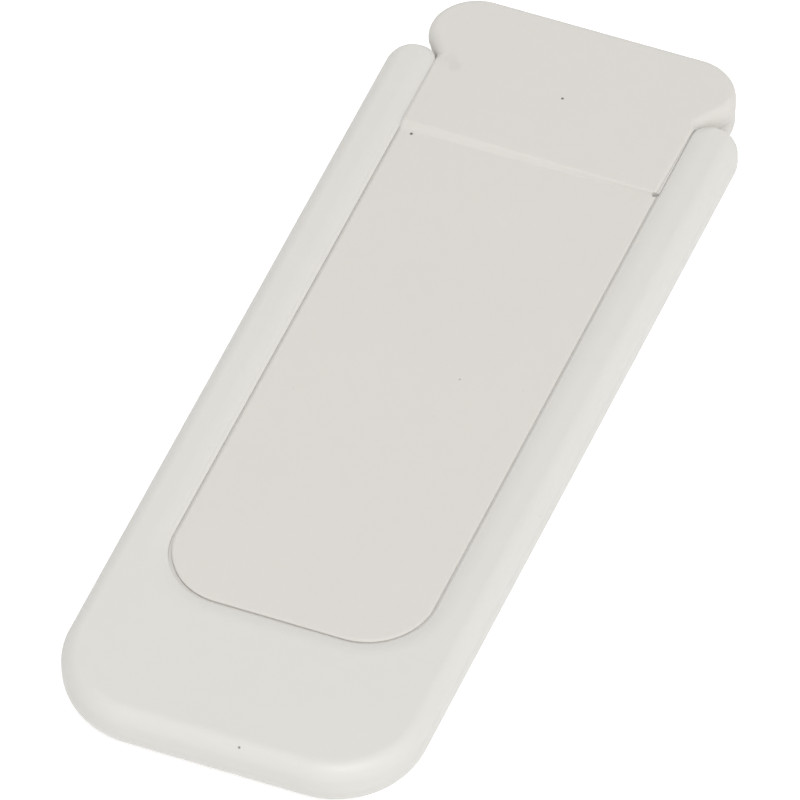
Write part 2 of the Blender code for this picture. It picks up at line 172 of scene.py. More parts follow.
def rounded(corners, steps=16):
    """Closed outline through corners of (x, y, radius), each corner an arc of the same number of points."""
    points = []
    count = len(corners)
    for i, (x, y, radius) in enumerate(corners):
        here = np.array([x, y])
        back = np.array(corners[i - 1][:2]) - here
        ahead = np.array(corners[(i + 1) % count][:2]) - here
        back, ahead = back / np.linalg.norm(back), ahead / np.linalg.norm(ahead)
        half_angle = math.acos(np.clip(back @ ahead, -1, 1)) / 2
        reach = radius / math.tan(half_angle)
        centre = here + (back + ahead) / np.linalg.norm(back + ahead) * radius / math.sin(half_angle)
        first, last = here + back * reach - centre, here + ahead * reach - centre
        start = math.atan2(first[1], first[0])
        sweep = math.atan2(first[0] * last[1] - first[1] * last[0], first @ last)
        turn = start + sweep * np.linspace(0, 1, steps + 1)
        points.append(centre + radius * np.column_stack([np.cos(turn), np.sin(turn)]))
    return np.concatenate(points)


def box_outline(half, low, high, low_radius, high_radius, steps=16):
    high_radius = min(high_radius, high - low - low_radius - 0.05)
    return rounded([(-half, low, low_radius), (half, low, low_radius),
                    (half, high, high_radius), (-half, high, high_radius)], steps)


def circle(x, y, radius, steps=48):
    return arc(x, y, radius, 0, 360, steps)[:-1]


def at_height(outline, z):
    return np.column_stack([outline, np.full(len(outline), z)])


def smooth(t):
    t = np.clip(t, 0.0, 1.0)
    return t * t * (3 - 2 * t)


# ---- meshes ----
def make_object(name, mesh_data):
    mesh = bpy.data.meshes.new(name)
    mesh_data.to_mesh(mesh)
    mesh_data.free()
    piece = bpy.data.objects.new(name, mesh)
    bpy.context.scene.collection.objects.link(piece)
    return piece


def loft(name, rings):
    """Closed solid through rings of points, all of one length, from low to high."""
    bm = bmesh.new()
    rows = [[bm.verts.new(Vector(p) * MM) for p in ring] for ring in rings]
    bm.faces.new(list(reversed(rows[0])))
    bm.faces.new(rows[-1])
    for lower, upper in zip(rows, rows[1:]):
        count = len(lower)
        for i in range(count):
            j = (i + 1) % count
            bm.faces.new((lower[i], lower[j], upper[j], upper[i]))
    bmesh.ops.recalc_face_normals(bm, faces=bm.faces)
    return make_object(name, bm)


def slab(name, outline, low, high):
    return loft(name, [at_height(outline, low), at_height(outline, high)])


def turned(name, x, y, profile, steps=48):
    return loft(name, [at_height(circle(x, y, radius, steps), z) for radius, z in profile])


def block(name, x0, x1, y0, y1, z0, z1):
    return slab(name, np.array([(x0, y0), (x1, y0), (x1, y1), (x0, y1)], float), z0, z1)


def applied(piece):
    """Turn the piece's modifiers into its mesh."""
    graph = bpy.context.evaluated_depsgraph_get()
    mesh = bpy.data.meshes.new_from_object(piece.evaluated_get(graph))
    piece.modifiers.clear()
    piece.data = mesh
    mesh.name = piece.name
    return piece


def combine(piece, operation, others):
    for other in others:
        cut = piece.modifiers.new("cut", "BOOLEAN")
        cut.operation = operation
        cut.object = other
        applied(piece)
        bpy.data.objects.remove(other)
    return piece


def soften(piece, width, segments=2):
    """Small round on every sharp edge."""
    bevel = piece.modifiers.new("soft", "BEVEL")
    bevel.width = width * MM
    bevel.segments = segments
    bevel.limit_method = "ANGLE"
    bevel.angle_limit = math.radians(50)
    bevel.use_clamp_overlap = True
    return applied(piece)


def place(piece, node, body, material, sharp=35):
    """Shade the piece, give it its material and put it on its body in the place of its CAD node."""
    piece.data.materials.clear()
    piece.data.materials.append(material)
    piece.data.shade_smooth()
    piece.data.set_sharp_from_angle(angle=math.radians(sharp))
    weighted = piece.modifiers.new("normals", "WEIGHTED_NORMAL")
    weighted.keep_sharp = True
    weighted.weight = 80
    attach(piece, body)
    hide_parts(node)
    return piece


def mark_cutter(x, y):
    """Disc for a shallow round mark in the back."""
    return turned("mark", x, y, [(MARK_RADIUS, -CLEAR), (MARK_RADIUS, MARK_DEPTH)], 40)


# ---- the case ----
def housing_levels():
    """Heights of the housing's rings with the outer inset and the pocket's offset at each."""
    quarter = np.radians(np.linspace(0, 90, 13))
    back = BACK_ROUND * (1 - np.cos(quarter))
    front = DEPTH - FRONT_ROUND * (1 - np.sin(np.radians(np.linspace(0, 90, 25))))
    reach = CREST - POCKET_HALF
    across = np.linspace(EDGE_WIDTH, reach, 20)
    crown = DEPTH - CROWN_DROP * ((reach - across) / reach) ** 2
    edge_offset = np.linspace(0, EDGE_WIDTH, 9)
    slope = np.tan(np.radians(np.linspace(*EDGE_SLOPES, 8)))
    edge_height = np.concatenate([[0.0], np.cumsum(slope * EDGE_WIDTH / 8)])
    edge_height += crown[0] - edge_height[-1] - HAIR
    pocket_offset = np.concatenate([[0.0], edge_offset, across])
    pocket_height = np.concatenate([[0.0], edge_height, crown])
    heights = np.unique(np.round(np.concatenate([back, front, edge_height, crown]), 3))
    inset = np.zeros_like(heights)
    low = heights < BACK_ROUND
    inset[low] = BACK_ROUND - np.sqrt(BACK_ROUND ** 2 - (BACK_ROUND - heights[low]) ** 2)
    high = heights > DEPTH - FRONT_ROUND
    inset[high] = FRONT_ROUND - np.sqrt(np.maximum(
        FRONT_ROUND ** 2 - (heights[high] - DEPTH + FRONT_ROUND) ** 2, 0))
    return heights, inset, np.interp(heights, pocket_height, pocket_offset)


def housing_ring(z, inset, offset):
    """U-shaped loop of the housing at one height.

    It is pulled in by inset outside and by offset round the pocket.
    """
    half, foot_radius, tip_radius = HALF - inset, FOOT_RADIUS - inset, max(TIP_RADIUS - inset, 0.2)
    foot_x, foot_y = half - foot_radius, FOOT + inset + foot_radius
    tip_x = half - tip_radius
    tip_y = TOP - TIP_SHARE * inset
    right_tip = arc(tip_x, tip_y - tip_radius, tip_radius, 0, 90, 24)
    left_tip = right_tip[::-1] * [-1, 1]
    wall = POCKET_HALF + offset
    across = max(min(TIP_INNER - offset, tip_x - wall - 2 * HAIR), 0.1)
    right_corner = arc(0, 0, 1, 90, 180, 24) * [across, TIP_INNER] + [wall + across, tip_y - TIP_INNER]
    left_corner = right_corner[::-1] * [-1, 1]
    right_side = arc(POCKET_HALF - POCKET_RADIUS, POCKET_LOW + POCKET_RADIUS,
                     POCKET_RADIUS + offset, 0, -90, 24)
    left_side = right_side[::-1] * [-1, 1]
    return at_height(np.concatenate([arc(-foot_x, foot_y, foot_radius, 180, 270, 24),
                                     arc(foot_x, foot_y, foot_radius, 270, 360, 24), right_tip,
                                     right_corner, right_side, left_side, left_corner, left_tip]), z)


def make_housing(plastic):
    housing = loft("housing_shell", [housing_ring(*level) for level in zip(*housing_levels())])
    wall = HALF - CHANNEL_HALF
    lip = HALF - LIP_HALF
    far = TOP + 30.0
    channel = box_outline(CHANNEL_HALF, FOOT + wall, far, FOOT_RADIUS - wall, 1.0)
    opening = box_outline(LIP_HALF, FOOT + lip, far, FOOT_RADIUS - lip, 1.0)
    opening_wide = box_outline(LIP_HALF + 0.2, FOOT + lip - 0.2, far, FOOT_RADIUS - lip + 0.2, 1.0)
    apron = box_outline(CHANNEL_HALF, FOOT + wall, POCKET_LOW - APRON_WALL, FOOT_RADIUS - wall, 1.0)
    screws = [middle(node) for node in BACK_SCREWS]
    inserts = [middle(f"mounting_insert_{side}") for side in SIDES]
    inside = slab("channel", channel, CHANNEL_LOW, CHANNEL_HIGH)
    combine(inside, "UNION", [
        loft("opening", [at_height(opening_wide, -CLEAR), at_height(opening_wide, 0.0),
                         at_height(opening, 0.2), at_height(opening, CHANNEL_LOW + GAP)]),
        slab("apron_space", apron, CHANNEL_HIGH - GAP, APRON_ROOF)])
    combine(housing, "DIFFERENCE", [inside])
    combine(housing, "UNION",
            [turned("boss", p.x, p.y, [(2.1, 2.0), (2.3, 2.2), (2.35, APRON_ROOF + GAP)]) for p in screws]
            + [turned("boss", p.x, p.y, [(3.2, 2.0), (3.4, 2.2), (3.45, APRON_ROOF + GAP)]) for p in inserts])
    combine(housing, "DIFFERENCE",
            [turned("hole", p.x, p.y, [(1.2, 0.0), (1.2, HOLE_REACH)], 32) for p in screws]
            + [turned("bore", p.x, p.y, [(2.3, 0.0), (2.3, HOLE_REACH)]) for p in inserts])
    return place(housing, "housing", CASE, plastic)


def lying_rod(name, x, profile, steps=24):
    """Round rod along Y at the springs' height, profile of (radius, y)."""
    turn = np.linspace(0, 2 * math.pi, steps, endpoint=False)
    return loft(name, [np.column_stack([x + radius * np.cos(turn), np.full(steps, y),
                                        SPRING_Z + radius * np.sin(turn)]) for radius, y in profile])


def make_back_plate(plastic):
    lip = HALF - LIP_HALF + GAP
    wall = HALF - PLATE_HALF
    outline = box_outline(HALF - lip, FOOT + lip, PLATE_END, FOOT_RADIUS - lip, 0.6)
    plate = slab("back_cover", outline, 0.0, PLATE_STEP + 0.2)
    flange = slab("flange", box_outline(PLATE_HALF, PLATE_FOOT, PLATE_END, FOOT_RADIUS - wall, 0.6),
                  PLATE_STEP, PLATE_THICK)
    posts = []
    for side in SIDES:
        x = middle(f"return_spring_{side}").x
        y = high_corner(f"return_spring_{side}").y + GAP
        posts.append(block("post", x - 1.3, x + 1.3, y, y + 2.0, PLATE_THICK - 0.2, POST_TOP))
    combine(plate, "UNION", [flange] + posts)
    screws = [middle(node) for node in BACK_SCREWS]
    inserts = [middle(f"mounting_insert_{side}") for side in SIDES]
    mouth = [(MOUTH_RADIUS + 0.5, -CLEAR), (MOUTH_RADIUS + 0.5, 0.0), (MOUTH_RADIUS + 0.15, 0.15),
             (MOUTH_RADIUS, 0.5), (MOUTH_RADIUS, PLATE_THICK + CLEAR)]
    cutters = [turned("mouth", 0.0, STUD_Y, mouth, 72)]
    screw_hole = [(2.5, -CLEAR), (2.5, 0.0), (1.3, 1.2), (1.3, 3.0)]
    insert_hole = [(2.1, -CLEAR), (2.1, 0.0), (1.8, 0.3), (1.8, 3.0)]
    cutters += [turned("hole", p.x, p.y, screw_hole) for p in screws]
    cutters += [turned("hole", p.x, p.y, insert_hole) for p in inserts]
    for side in SIDES:
        guide = middle(f"spring_guide_{side}")
        end = high_corner(f"spring_guide_{side}").y
        cutters.append(lying_rod("hole", guide.x, [(0.6, end - 2.5), (0.6, end + GAP)]))
    cutters += [mark_cutter(x, y) for x, y in MARK_SPOTS]
    combine(plate, "DIFFERENCE", cutters)
    return place(plate, "back_plate", CASE, plastic)


# ---- the slide ----
def step_point(share, x):
    """Point on one line of the step between panel and grip, at distance x from the middle."""
    length = STEP_LEFT + (STEP_RIGHT - STEP_LEFT) * (x + STEM_HALF) / (2 * STEM_HALF)
    return x, STEP_Y + length * (share - 0.5), PANEL_TOP + (GRIP_TOP - PANEL_TOP) * smooth(share)


def grip_half(half, end, stem, steps=16):
    """Right half of the grip's outline from stem to end: points with their outward normals."""
    centre = np.array([POCKET_HALF + TIP_INNER, TOP - TIP_INNER])
    reach = centre[0] - stem
    inner = arc(0, 0, 1, 180, 180 - FLANK_TURN, steps // 2)
    flank_start, flank_normal = centre + reach * inner[-1], -inner[-1]
    low_x = half - FLANK_RADIUS
    side_y = flank_start[1] + (FLANK_RADIUS + flank_normal[0] * (low_x - flank_start[0])) / -flank_normal[1]
    corner = end - side_y
    low = arc(0, 0, 1, -FLANK_TURN, 0, steps)
    high = arc(0, 0, 1, 0, 90, 2 * steps)[1:]
    return np.concatenate([np.hstack([centre + reach * inner, -inner]),
                           np.hstack([(low_x, side_y) + FLANK_RADIUS * low, low]),
                           np.hstack([(half - corner, side_y) + corner * high, high])])


def mirrored(rows):
    """The same outline on the left, in the order that carries on from the right half."""
    turned_rows = rows[::-1].copy()
    turned_rows[:, [0, 2]] *= -1
    return turned_rows


def face_outline():
    """Outline of the slide's front, and how many of its points lie round the foot.

    It runs from the left of the step round the foot to the right and on round the grip.
    Each row holds x, y, the outward normal, the round of the top edge and the height of the top.
    """
    radius = POCKET_RADIUS - SLIDE_GAP
    foot = arc(STEM_HALF - radius, POCKET_LOW + SLIDE_GAP + radius, radius, -90, 0, 24)
    normal = arc(0, 0, 1, -90, 0, 24)
    edge = np.full((len(foot), 1), PANEL_EDGE)
    right_foot = np.hstack([foot, normal, edge, np.full((len(foot), 1), PANEL_TOP)])
    rows = {}
    for side in (-1, 1):
        points = [step_point(share, side * STEM_HALF) for share in np.linspace(0, 1, STEP_ROWS + 1)]
        rows[side] = np.array([(x, y, side, 0, PANEL_EDGE, z) for x, y, z in points], float)
    grip = grip_half(GRIP_HALF, GRIP_END, STEM_HALF)
    into_flank = smooth((grip[:, 1] - TOP + TIP_INNER) / 1.5)
    into_grip = smooth((grip[:, 1] - TOP - 2.0) / 2.5)
    edge = PANEL_EDGE + (FLANK_EDGE - PANEL_EDGE) * into_flank + (GRIP_EDGE - FLANK_EDGE) * into_grip
    right_grip = np.column_stack([grip, edge, np.full(len(grip), GRIP_TOP)])
    return np.concatenate([rows[-1][::-1], mirrored(right_foot), right_foot, rows[1],
                           right_grip, mirrored(right_grip)]), 2 * len(foot)


def slit_cutter():
    """Short notch with round ends across the right end of the step."""
    first, last = np.array(SLIT_ENDS)
    lean = math.degrees(math.atan2(*(last - first)[::-1]))
    outline = np.concatenate([arc(*last, SLIT_HALF, lean - 90, lean + 90, 12),
                              arc(*first, SLIT_HALF, lean + 90, lean + 270, 12)])
    return slab("slit", outline, SLIT_FLOOR, GRIP_TOP + CLEAR)


def make_face(plastic):
    """Front of the slide: rings from its hidden lower edge to the brim, closed by panel, step and grip."""
    outline, foot_points = face_outline()
    spot, normal, edge, height = outline[:, :2], outline[:, 2:4], outline[:, 4], outline[:, 5]
    across = np.clip(0.5 + spot[:, 0] / (2 * STEM_HALF), 0, 1)
    groove = np.interp(across, (0, 1), GROOVE_SIDES)
    into_foot = smooth((POCKET_LOW + POCKET_RADIUS + 1.0 - spot[:, 1]) / (0.8 * POCKET_RADIUS))
    groove += np.interp(across, (0, 1), GROOVE_FOOT) * into_foot
    groove = HAIR + (groove - HAIR) * (1 - smooth((spot[:, 1] - TOP + TIP_INNER + 1.5) / 1.5))

    def ring(inset, z):
        return np.column_stack([spot - normal * np.reshape(inset, (-1, 1)), np.broadcast_to(z, edge.shape)])

    start = PANEL_EDGE_START * (1 - smooth((spot[:, 1] - TOP + TIP_INNER) / 1.5))
    depth = np.interp(across, (0, 1), GROOVE_DEPTH) + np.interp(across, (0, 1), GROOVE_DEEPER) * into_foot
    ledge = height - edge * (1 - np.sin(np.radians(start))) - depth
    ledge = np.maximum(ledge, CHANNEL_HIGH + 1.2 * FACE_FOOT_EDGE)
    rings = [ring(FACE_FOOT_EDGE, CHANNEL_HIGH), ring(0.0, CHANNEL_HIGH + FACE_FOOT_EDGE),
             ring(0.0, ledge), ring(groove, ledge)]
    for share in np.linspace(0, 1, 13):
        turn = np.radians(start + (90 - start) * share)
        inset = groove + edge * (np.cos(np.radians(start)) - np.cos(turn))
        rings.append(ring(inset, height - edge * (1 - np.sin(turn))))

    bm = bmesh.new()
    rows = [[bm.verts.new(Vector(p) * MM) for p in points] for points in rings]
    bm.faces.new(list(reversed(rows[0])))
    for lower, higher in zip(rows, rows[1:]):
        for i in range(len(outline)):
            j = (i + 1) % len(outline)
            bm.faces.new((lower[i], lower[j], higher[j], higher[i]))
    brim = rows[-1]
    first_right = STEP_ROWS + 1 + foot_points
    lines = []
    for i, share in enumerate(np.linspace(0, 1, STEP_ROWS + 1)):
        left, right = brim[STEP_ROWS - i], brim[first_right + i]
        line = [left]
        for k in range(1, STEP_COLUMNS):
            x = (left.co.x + (right.co.x - left.co.x) * k / STEP_COLUMNS) / MM
            line.append(bm.verts.new(Vector(step_point(share, x)) * MM))
        lines.append(line + [right])
    for low, high in zip(lines, lines[1:]):
        for k in range(STEP_COLUMNS):
            bm.faces.new((low[k], low[k + 1], high[k + 1], high[k]))
    bm.faces.new(brim[STEP_ROWS:first_right + 1] + lines[0][-2:0:-1])
    bm.faces.new(lines[-1] + brim[first_right + STEP_ROWS + 1:])
    bmesh.ops.recalc_face_normals(bm, faces=bm.faces)
    face = make_object("slide_front", bm)
    peg = [(0.7, 2.4), (0.9, 2.6), (0.9, CHANNEL_HIGH + GAP)]
    combine(face, "UNION", [turned("peg", x, y, peg, 32) for x, y in PEG_SPOTS])
    screws = [middle(f"face_screw_{side}") for side in SIDES]
    holes = [turned("hole", p.x, p.y, [(1.1, 4.0), (1.1, HOLE_REACH)], 32) for p in screws]
    combine(face, "DIFFERENCE", holes + [slit_cutter()])
    return place(face, "slide_face", SLIDE, plastic)


def make_carrier(plastic):
    """Body of the slide inside the case, with the back half of the grip."""
    carrier = slab("slide_body", box_outline(CHANNEL_HALF - GAP, CARRIER_FOOT, TOP - 8.0, 9.2, 0.6),
                   LOCK_LOW, CARRIER_TOP)
    stem = block("stem", -POCKET_HALF + 0.5, POCKET_HALF - 0.5, TOP - 10.0, TOP + 3.0, LOCK_LOW, CARRIER_TOP)
    back_round, front_round = 1.8, 0.3
    half = grip_half(HEAD_HALF, CARRIER_END, POCKET_HALF - 0.5)
    whole = np.concatenate([half, mirrored(half)])
    rings = []
    for turn in np.radians(np.linspace(0, 90, 13)):
        rings.append((back_round * (1 - math.sin(turn)), HEAD_BACK + back_round * (1 - math.cos(turn))))
    for turn in np.radians(np.linspace(0, 90, 6)):
        rings.append((front_round * (1 - math.cos(turn)), CARRIER_TOP - front_round * (1 - math.sin(turn))))
    head = loft("head", [at_height(whole[:, :2] - whole[:, 2:] * inset, z) for inset, z in rings])
    combine(carrier, "UNION", [stem, head])
    through = (LOCK_LOW - CLEAR, CARRIER_TOP + CLEAR)
    cutters = []
    for side in SIDES:
        x = middle(f"return_spring_{side}").x
        low = low_corner(f"return_spring_{side}").y - GAP
        high = high_corner(f"return_spring_{side}").y + GAP + 2.5
        cutters.append(block("window", x - 1.75, x + 1.75, low, high, *through))
    lock_low, lock_high = low_corner("locking_plate"), high_corner("locking_plate")
    cutters.append(block("recess", lock_low.x - GAP, lock_high.x + GAP, lock_low.y - GAP, lock_high.y + GAP,
                         LOCK_LOW - CLEAR, LOCK_HIGH + GAP))
    head_room = box_outline(5.0, STUD_Y - TRAVEL - 5.0, STUD_Y + 5.0, 4.9, 4.9)
    cutters.append(slab("head_channel", head_room, *through))
    for p in map(middle, RIVETS):
        cutters.append(turned("hole", p.x, p.y, [(1.3, 2.0), (1.3, 3.6), (2.0, 3.6), (2.0, 6.0)], 32))
    cutters += [turned("hole", x, y, [(1.2, 1.0), (1.2, 6.0)], 32) for x, y in PEG_SPOTS]
    for side in SIDES:
        p = middle(f"face_screw_{side}")
        cutters.append(turned("hole", p.x, p.y, [(2.2, 0.0), (2.2, 0.9), (1.3, 1.8), (1.3, 6.0)], 40))
    combine(carrier, "DIFFERENCE", cutters)
    return place(carrier, "slide_carrier", SLIDE, plastic)


# ---- small parts of metal and rubber ----
def make_spring(side, steel):
    """Return spring: round wire wound along Y, its end turns closed, its upper end fixed to the case."""
    node = f"return_spring_{side}"
    low, high = low_corner(node), high_corner(node)
    x = (low.x + high.x) / 2
    radius = (high.x - low.x) / 2 - WIRE_RADIUS
    length = high.y - low.y - 2 * WIRE_RADIUS
    closed = CLOSED_TURNS * 2.1 * WIRE_RADIUS
    turns = np.linspace(0, SPRING_TURNS, SPRING_TURNS * 28 + 1)
    along = np.interp(turns, [0, CLOSED_TURNS, SPRING_TURNS - CLOSED_TURNS, SPRING_TURNS],
                      [0, closed, length - closed, length])
    section = np.linspace(0, 2 * math.pi, 10, endpoint=False)
    reach = radius + WIRE_RADIUS * np.cos(section)
    rings = []
    for turn, y in zip(turns * 2 * math.pi, along):
        rings.append(np.column_stack([x + reach * math.cos(turn),
                                      low.y + WIRE_RADIUS * (1 + np.sin(section)) + y,
                                      SPRING_Z + reach * math.sin(turn)]))
    spring = place(loft(f"return_coil_{side}", rings), node, CASE, steel, 60)
    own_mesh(spring)


def threaded(name, x, y, head, core, crest, low, high, pitch, steps=24):
    """Solid turned along Z: the head's rings of (radius, z), then a helical thread that tapers to a tip."""
    turn = np.linspace(0, 2 * math.pi, steps, endpoint=False)
    rings = [at_height(circle(x, y, radius, steps), z) for radius, z in head]
    for z in np.append(np.arange(low, high, pitch / 8), high):
        phase = (z / pitch - turn / (2 * math.pi)) % 1.0
        ridge = np.clip(1 - np.abs(phase - 0.5) * 4, 0, 1)
        radius = (core + (crest - core) * ridge) * (0.35 + 0.65 * min(1.0, (high - z) / 0.8))
        rings.append(at_height(np.column_stack([x + radius * np.cos(turn), y + radius * np.sin(turn)]), z))
    return loft(name, rings)


def cross_recess(x, y, face, depth, half):
    """Cutter for a cross slot that narrows upwards from the head's face."""
    bars = []
    for width, length in ((0.22 * half, half), (half, 0.22 * half)):
        shape = np.array([(-width, -length), (width, -length), (width, length), (-width, length)])
        sizes = [(1.0, face - CLEAR), (1.0, face), (0.45, face + depth)]
        bars.append(loft("bar", [at_height(shape * size + [x, y], z) for size, z in sizes]))
    return combine(bars[0], "UNION", [bars[1]])


def make_screw(node, body, steel, head, core, crest, pitch):
    p = middle(node)
    face, under = low_corner(node).z, head[-1][1]
    screw = threaded(f"{node}_threaded", p.x, p.y, head, core, crest,
                     under + 0.05, high_corner(node).z, pitch)
    combine(screw, "DIFFERENCE", [cross_recess(p.x, p.y, face, 0.8, 0.62 * head[0][0])])
    place(screw, node, body, steel)


def make_rivet(node, steel):
    p, low, high = middle(node), low_corner(node).z, high_corner(node).z
    dome = [(1.7 * math.cos(t), high - 0.34 * (1 - math.sin(t))) for t in np.radians([0, 30, 55, 75, 87])]
    shank = [(1.4, low), (1.5, low + 0.06), (1.0, LOCK_HIGH), (1.0, high - 0.42), (1.62, high - 0.42)]
    place(turned(f"{node}_turned", p.x, p.y, shank + dome, 40), node, SLIDE, steel)


def make_insert(side, brass):
    """Threaded brass insert: two knurled bands with a groove between them, and a threaded bore."""
    node = f"mounting_insert_{side}"
    p, low, high = middle(node), low_corner(node).z, high_corner(node).z
    outside = high_corner(node).x - p.x
    turn = np.linspace(0, 2 * math.pi, 144, endpoint=False)
    knurl = outside - 0.1 * np.abs(np.sin(12 * turn))
    rings = []
    for z, share in ((low, 0), (low + 0.2, 0), (low + 0.2, 1), (low + 1.2, 1), (low + 1.2, 0),
                     (high - 1.2, 0), (high - 1.2, 1), (high - 0.2, 1), (high - 0.2, 0), (high, 0)):
        radius = (outside - 0.2) * (1 - share) + knurl * share
        section = np.column_stack([p.x + radius * np.cos(turn), p.y + radius * np.sin(turn)])
        rings.append(at_height(section, z))
    insert = loft(f"{node}_knurled", rings)
    bore = threaded("bore", p.x, p.y, [(1.6, low - CLEAR), (1.6, low), (1.3, low + 0.3)], 1.25, 1.45,
                    low + 0.35, high + CLEAR, 0.5, 32)
    combine(insert, "DIFFERENCE", [bore])
    place(insert, node, CASE, brass)


def make_locking_plate(steel):
    """Sheet with a slot that ends in a round opening for the stud's head, riveted under the slide."""
    low, high = low_corner("locking_plate"), high_corner("locking_plate")
    plate = slab("locking_sheet", box_outline(high.x, low.y, high.y, 1.5, 1.5), LOCK_LOW, LOCK_HIGH)
    opening = slab("slot", box_outline(2.5, STUD_Y - TRAVEL, STUD_Y + 4.0, 0.3, 2.45), LOCK_LOW - CLEAR,
                   LOCK_HIGH + CLEAR)
    combine(opening, "UNION", [turned("round", 0.0, STUD_Y - TRAVEL,
                                      [(4.6, LOCK_LOW - CLEAR), (4.6, LOCK_HIGH + CLEAR)], 72)])
    sink = [(1.9, LOCK_LOW - CLEAR), (1.9, LOCK_LOW), (1.3, LOCK_LOW + 0.4), (1.3, LOCK_HIGH + CLEAR)]
    holes = [turned("hole", p.x, p.y, sink, 40) for p in map(middle, RIVETS)]
    combine(plate, "DIFFERENCE", [opening] + holes)
    place(soften(plate, 0.08), "locking_plate", SLIDE, steel)


def make_guide(side, steel):
    node = f"spring_guide_{side}"
    low, high = low_corner(node), high_corner(node)
    radius = (high.x - low.x) / 2
    profile = [(radius - 0.1, low.y), (radius, low.y + 0.1), (radius, high.y - 0.1), (radius - 0.1, high.y)]
    rod = lying_rod(f"guide_rod_{side}", (low.x + high.x) / 2, profile)
    place(rod, node, CASE, steel)


def make_bumper(side, rubber):
    """Block of rubber between case and slide, soft along every edge."""
    node = f"bumper_{side}"
    low, high = low_corner(node), high_corner(node)
    pad = block(f"bumper_pad_{side}", low.x, high.x, low.y, high.y, low.z, high.z)
    place(soften(pad, 0.3, segments=5), node, CASE, rubber)


# ---- materials ----
class Nodes:
    """Short way to build a material's node tree."""

    def __init__(self, name):
        self.material = bpy.data.materials.new(name)
        self.material.use_nodes = True
        self.tree = self.material.node_tree
        self.shader = self.tree.nodes["Principled BSDF"]
        coordinates = self.tree.nodes.new("ShaderNodeTexCoord")
        self.place = coordinates.outputs["Object"]

    def add(self, kind, settings=(), **inputs):
        made = self.tree.nodes.new("ShaderNode" + kind)
        for key, value in dict(settings).items():
            setattr(made, key, value)
        for key, value in inputs.items():
            self.set(made, key.replace("_", " "), value)
        return made

    def set(self, made, key, value):
        socket = made.inputs[int(key)] if key.isdigit() else made.inputs[key]
        if isinstance(value, bpy.types.NodeSocket):
            self.tree.links.new(value, socket)
        else:
            socket.default_value = value

    def noise(self, size, detail=2.0):
        """Noise whose lumps are about size millimetres across."""
        return self.add("TexNoise", Vector=self.place, Scale=1 / (size * MM), Detail=detail).outputs["Fac"]

    def ramp(self, value, low, high, start=0.35, end=0.65):
        made = self.add("MapRange", Value=value, From_Min=start, From_Max=end, To_Min=low, To_Max=high)
        return made.outputs["Result"]

    def mix(self, factor, first, second):
        """Colour between two; a colour mix has its factor on socket 0 and its colours on 6 and 7."""
        made = self.add("Mix", {"data_type": "RGBA"})
        self.set(made, "0", factor)
        self.set(made, "6", (*first, 1.0) if isinstance(first, tuple) else first)
        self.set(made, "7", (*second, 1.0) if isinstance(second, tuple) else second)
        return made.outputs[2]

    def bump(self, height, strength, depth, under=None):
        made = self.add("Bump", Height=height, Strength=strength, Distance=depth * MM)
        if under is not None:
            self.set(made, "Normal", under)
        return made.outputs["Normal"]

    def spot(self, at, radius):
        """1 inside a small round spot on the surface, falling to 0 at its rim."""
        far = self.add("VectorMath", {"operation": "DISTANCE"})
        self.set(far, "0", self.place)
        self.set(far, "1", [c * MM for c in at])
        return self.ramp(far.outputs["Value"], 1.0, 0.0, radius * 0.45 * MM, radius * MM)


# x, y, z, radius and darkness of the specks and smudges on the two plastics; the first mark on the slide is
# not a speck but a dot of painted shade in the gap at the left end of the step
SLIDE_SPECKS_AND_SHADE = [(-13.1, 37.4, 6.1, 0.22, 1.0), (0.1, 47.5, 6.55, 0.2, 1.0), (4.9, 6.5, 6.1, 0.15, 0.5),
                (-13.1, 48.7, 6.55, 0.9, 0.045), (-12.3, 47.8, 6.55, 0.9, 0.07),
                (-14.0, 48.3, 6.55, 0.7, 0.03)]
CASE_SPECKS = [(3.0, -49.4, 6.3, 0.2, 1.0)]
# colour of the dark specks and of the dot of painted shade
SPECK_AND_SHADE_COLOUR = (0.10, 0.08, 0.075)
DUST_COLOUR = (0.25, 0.23, 0.20)


def plastic_material(name, light, dark, specks_and_shade=()):
    """Satin moulded plastic, faintly clouded, with fine grain, a little dust and the given dark marks: small
    dirt spots and smudges, and on the slide one dot of painted shade.
    """
    n = Nodes(name)
    colour = n.mix(n.ramp(n.noise(14.0, 3.0), 0.0, 1.0), light, dark)
    dust = n.add("TexVoronoi", {"feature": "F1"}, Vector=n.place, Scale=1 / (7.0 * MM))
    colour = n.mix(n.ramp(dust.outputs["Distance"], 0.35, 0.0, 0.006, 0.016), colour, DUST_COLOUR)
    # darken the colour at each mark: specks and smudges, and on the slide one dot of painted shade
    for x, y, z, radius, darkness in specks_and_shade:
        fade = n.add("Math", {"operation": "MULTIPLY"})
        n.set(fade, "0", n.spot((x, y, z), radius))
        n.set(fade, "1", darkness)
        colour = n.mix(fade.outputs["Value"], colour, SPECK_AND_SHADE_COLOUR)
    n.set(n.shader, "Base Color", colour)
    n.set(n.shader, "Roughness", n.ramp(n.noise(3.0, 4.0), 0.42, 0.52))
    grain = n.bump(n.noise(0.28, 2.0), 0.25, 0.006)
    n.set(n.shader, "Normal", n.bump(n.noise(9.0, 1.0), 0.3, 0.008, grain))
    n.set(n.shader, "IOR", 1.46)
    n.set(n.shader, "Specular IOR Level", 0.35)
    n.set(n.shader, "Subsurface Weight", 0.25)
    n.set(n.shader, "Subsurface Radius", (1.0, 0.9, 0.75))
    n.set(n.shader, "Subsurface Scale", 0.8 * MM)
    return n.material


